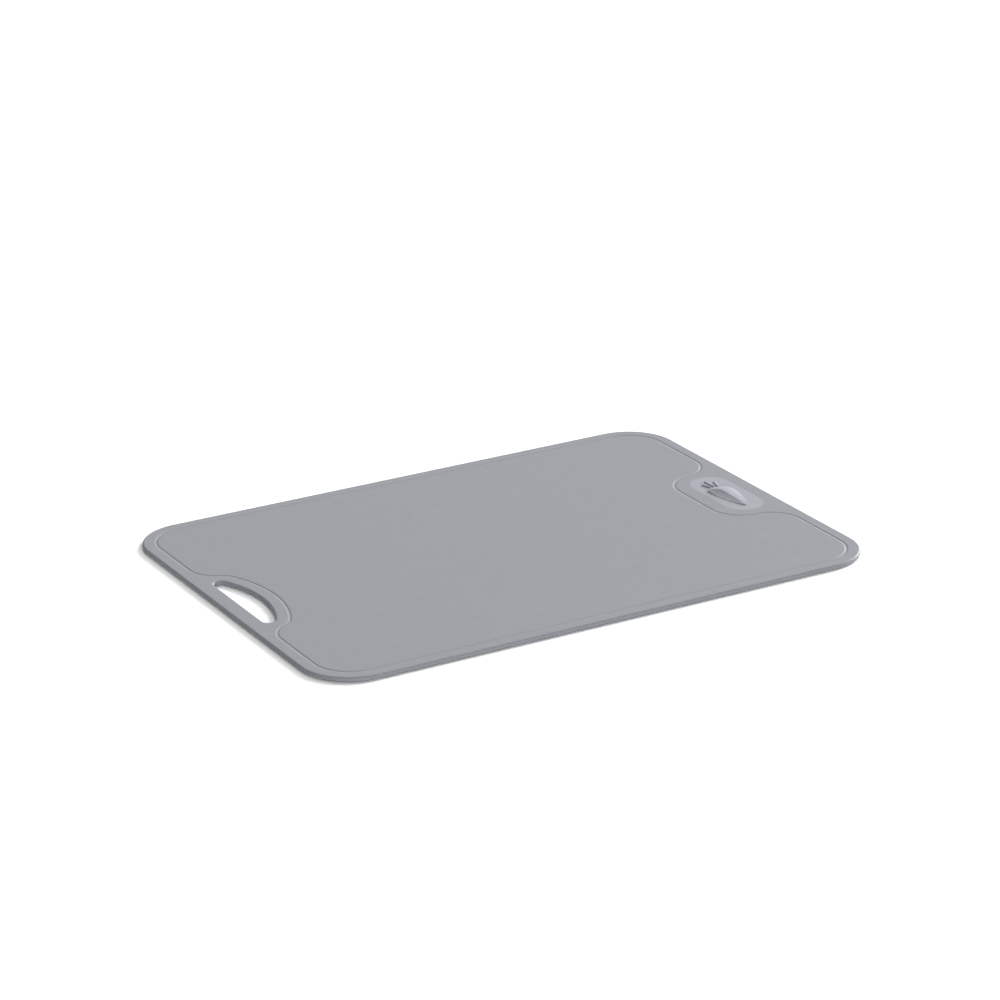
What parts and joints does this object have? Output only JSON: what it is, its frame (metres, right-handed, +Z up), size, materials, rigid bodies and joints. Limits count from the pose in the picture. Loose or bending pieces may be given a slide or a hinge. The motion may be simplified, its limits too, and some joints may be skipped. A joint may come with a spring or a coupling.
{
  "type": "flexible cutting mat",
  "caption": "Thin flexible cutting mat with a soft round-nosed rim, a D-shaped hand hole and a lighter pad with a raised carrot.",
  "frame": {"origin": "under the middle of the mat, on the surface that it rests on", "axes": "+X along the length towards the pad, +Y across the mat, +Z up out of the cutting side"},
  "size_m": [0.35, 0.25, 0.0052],
  "materials": {
    "sheet": "satin, fine grain",
    "rim": "satin, soft to the touch",
    "pad": "satin",
    "figure": "satin"
  },
  "bodies": {
    "root": {"cutting_sheet": "sheet", "soft_rim": "rim", "food_pad": "pad", "carrot_root": "figure", "carrot_leaves": "figure"}
  },
  "joints": []
}
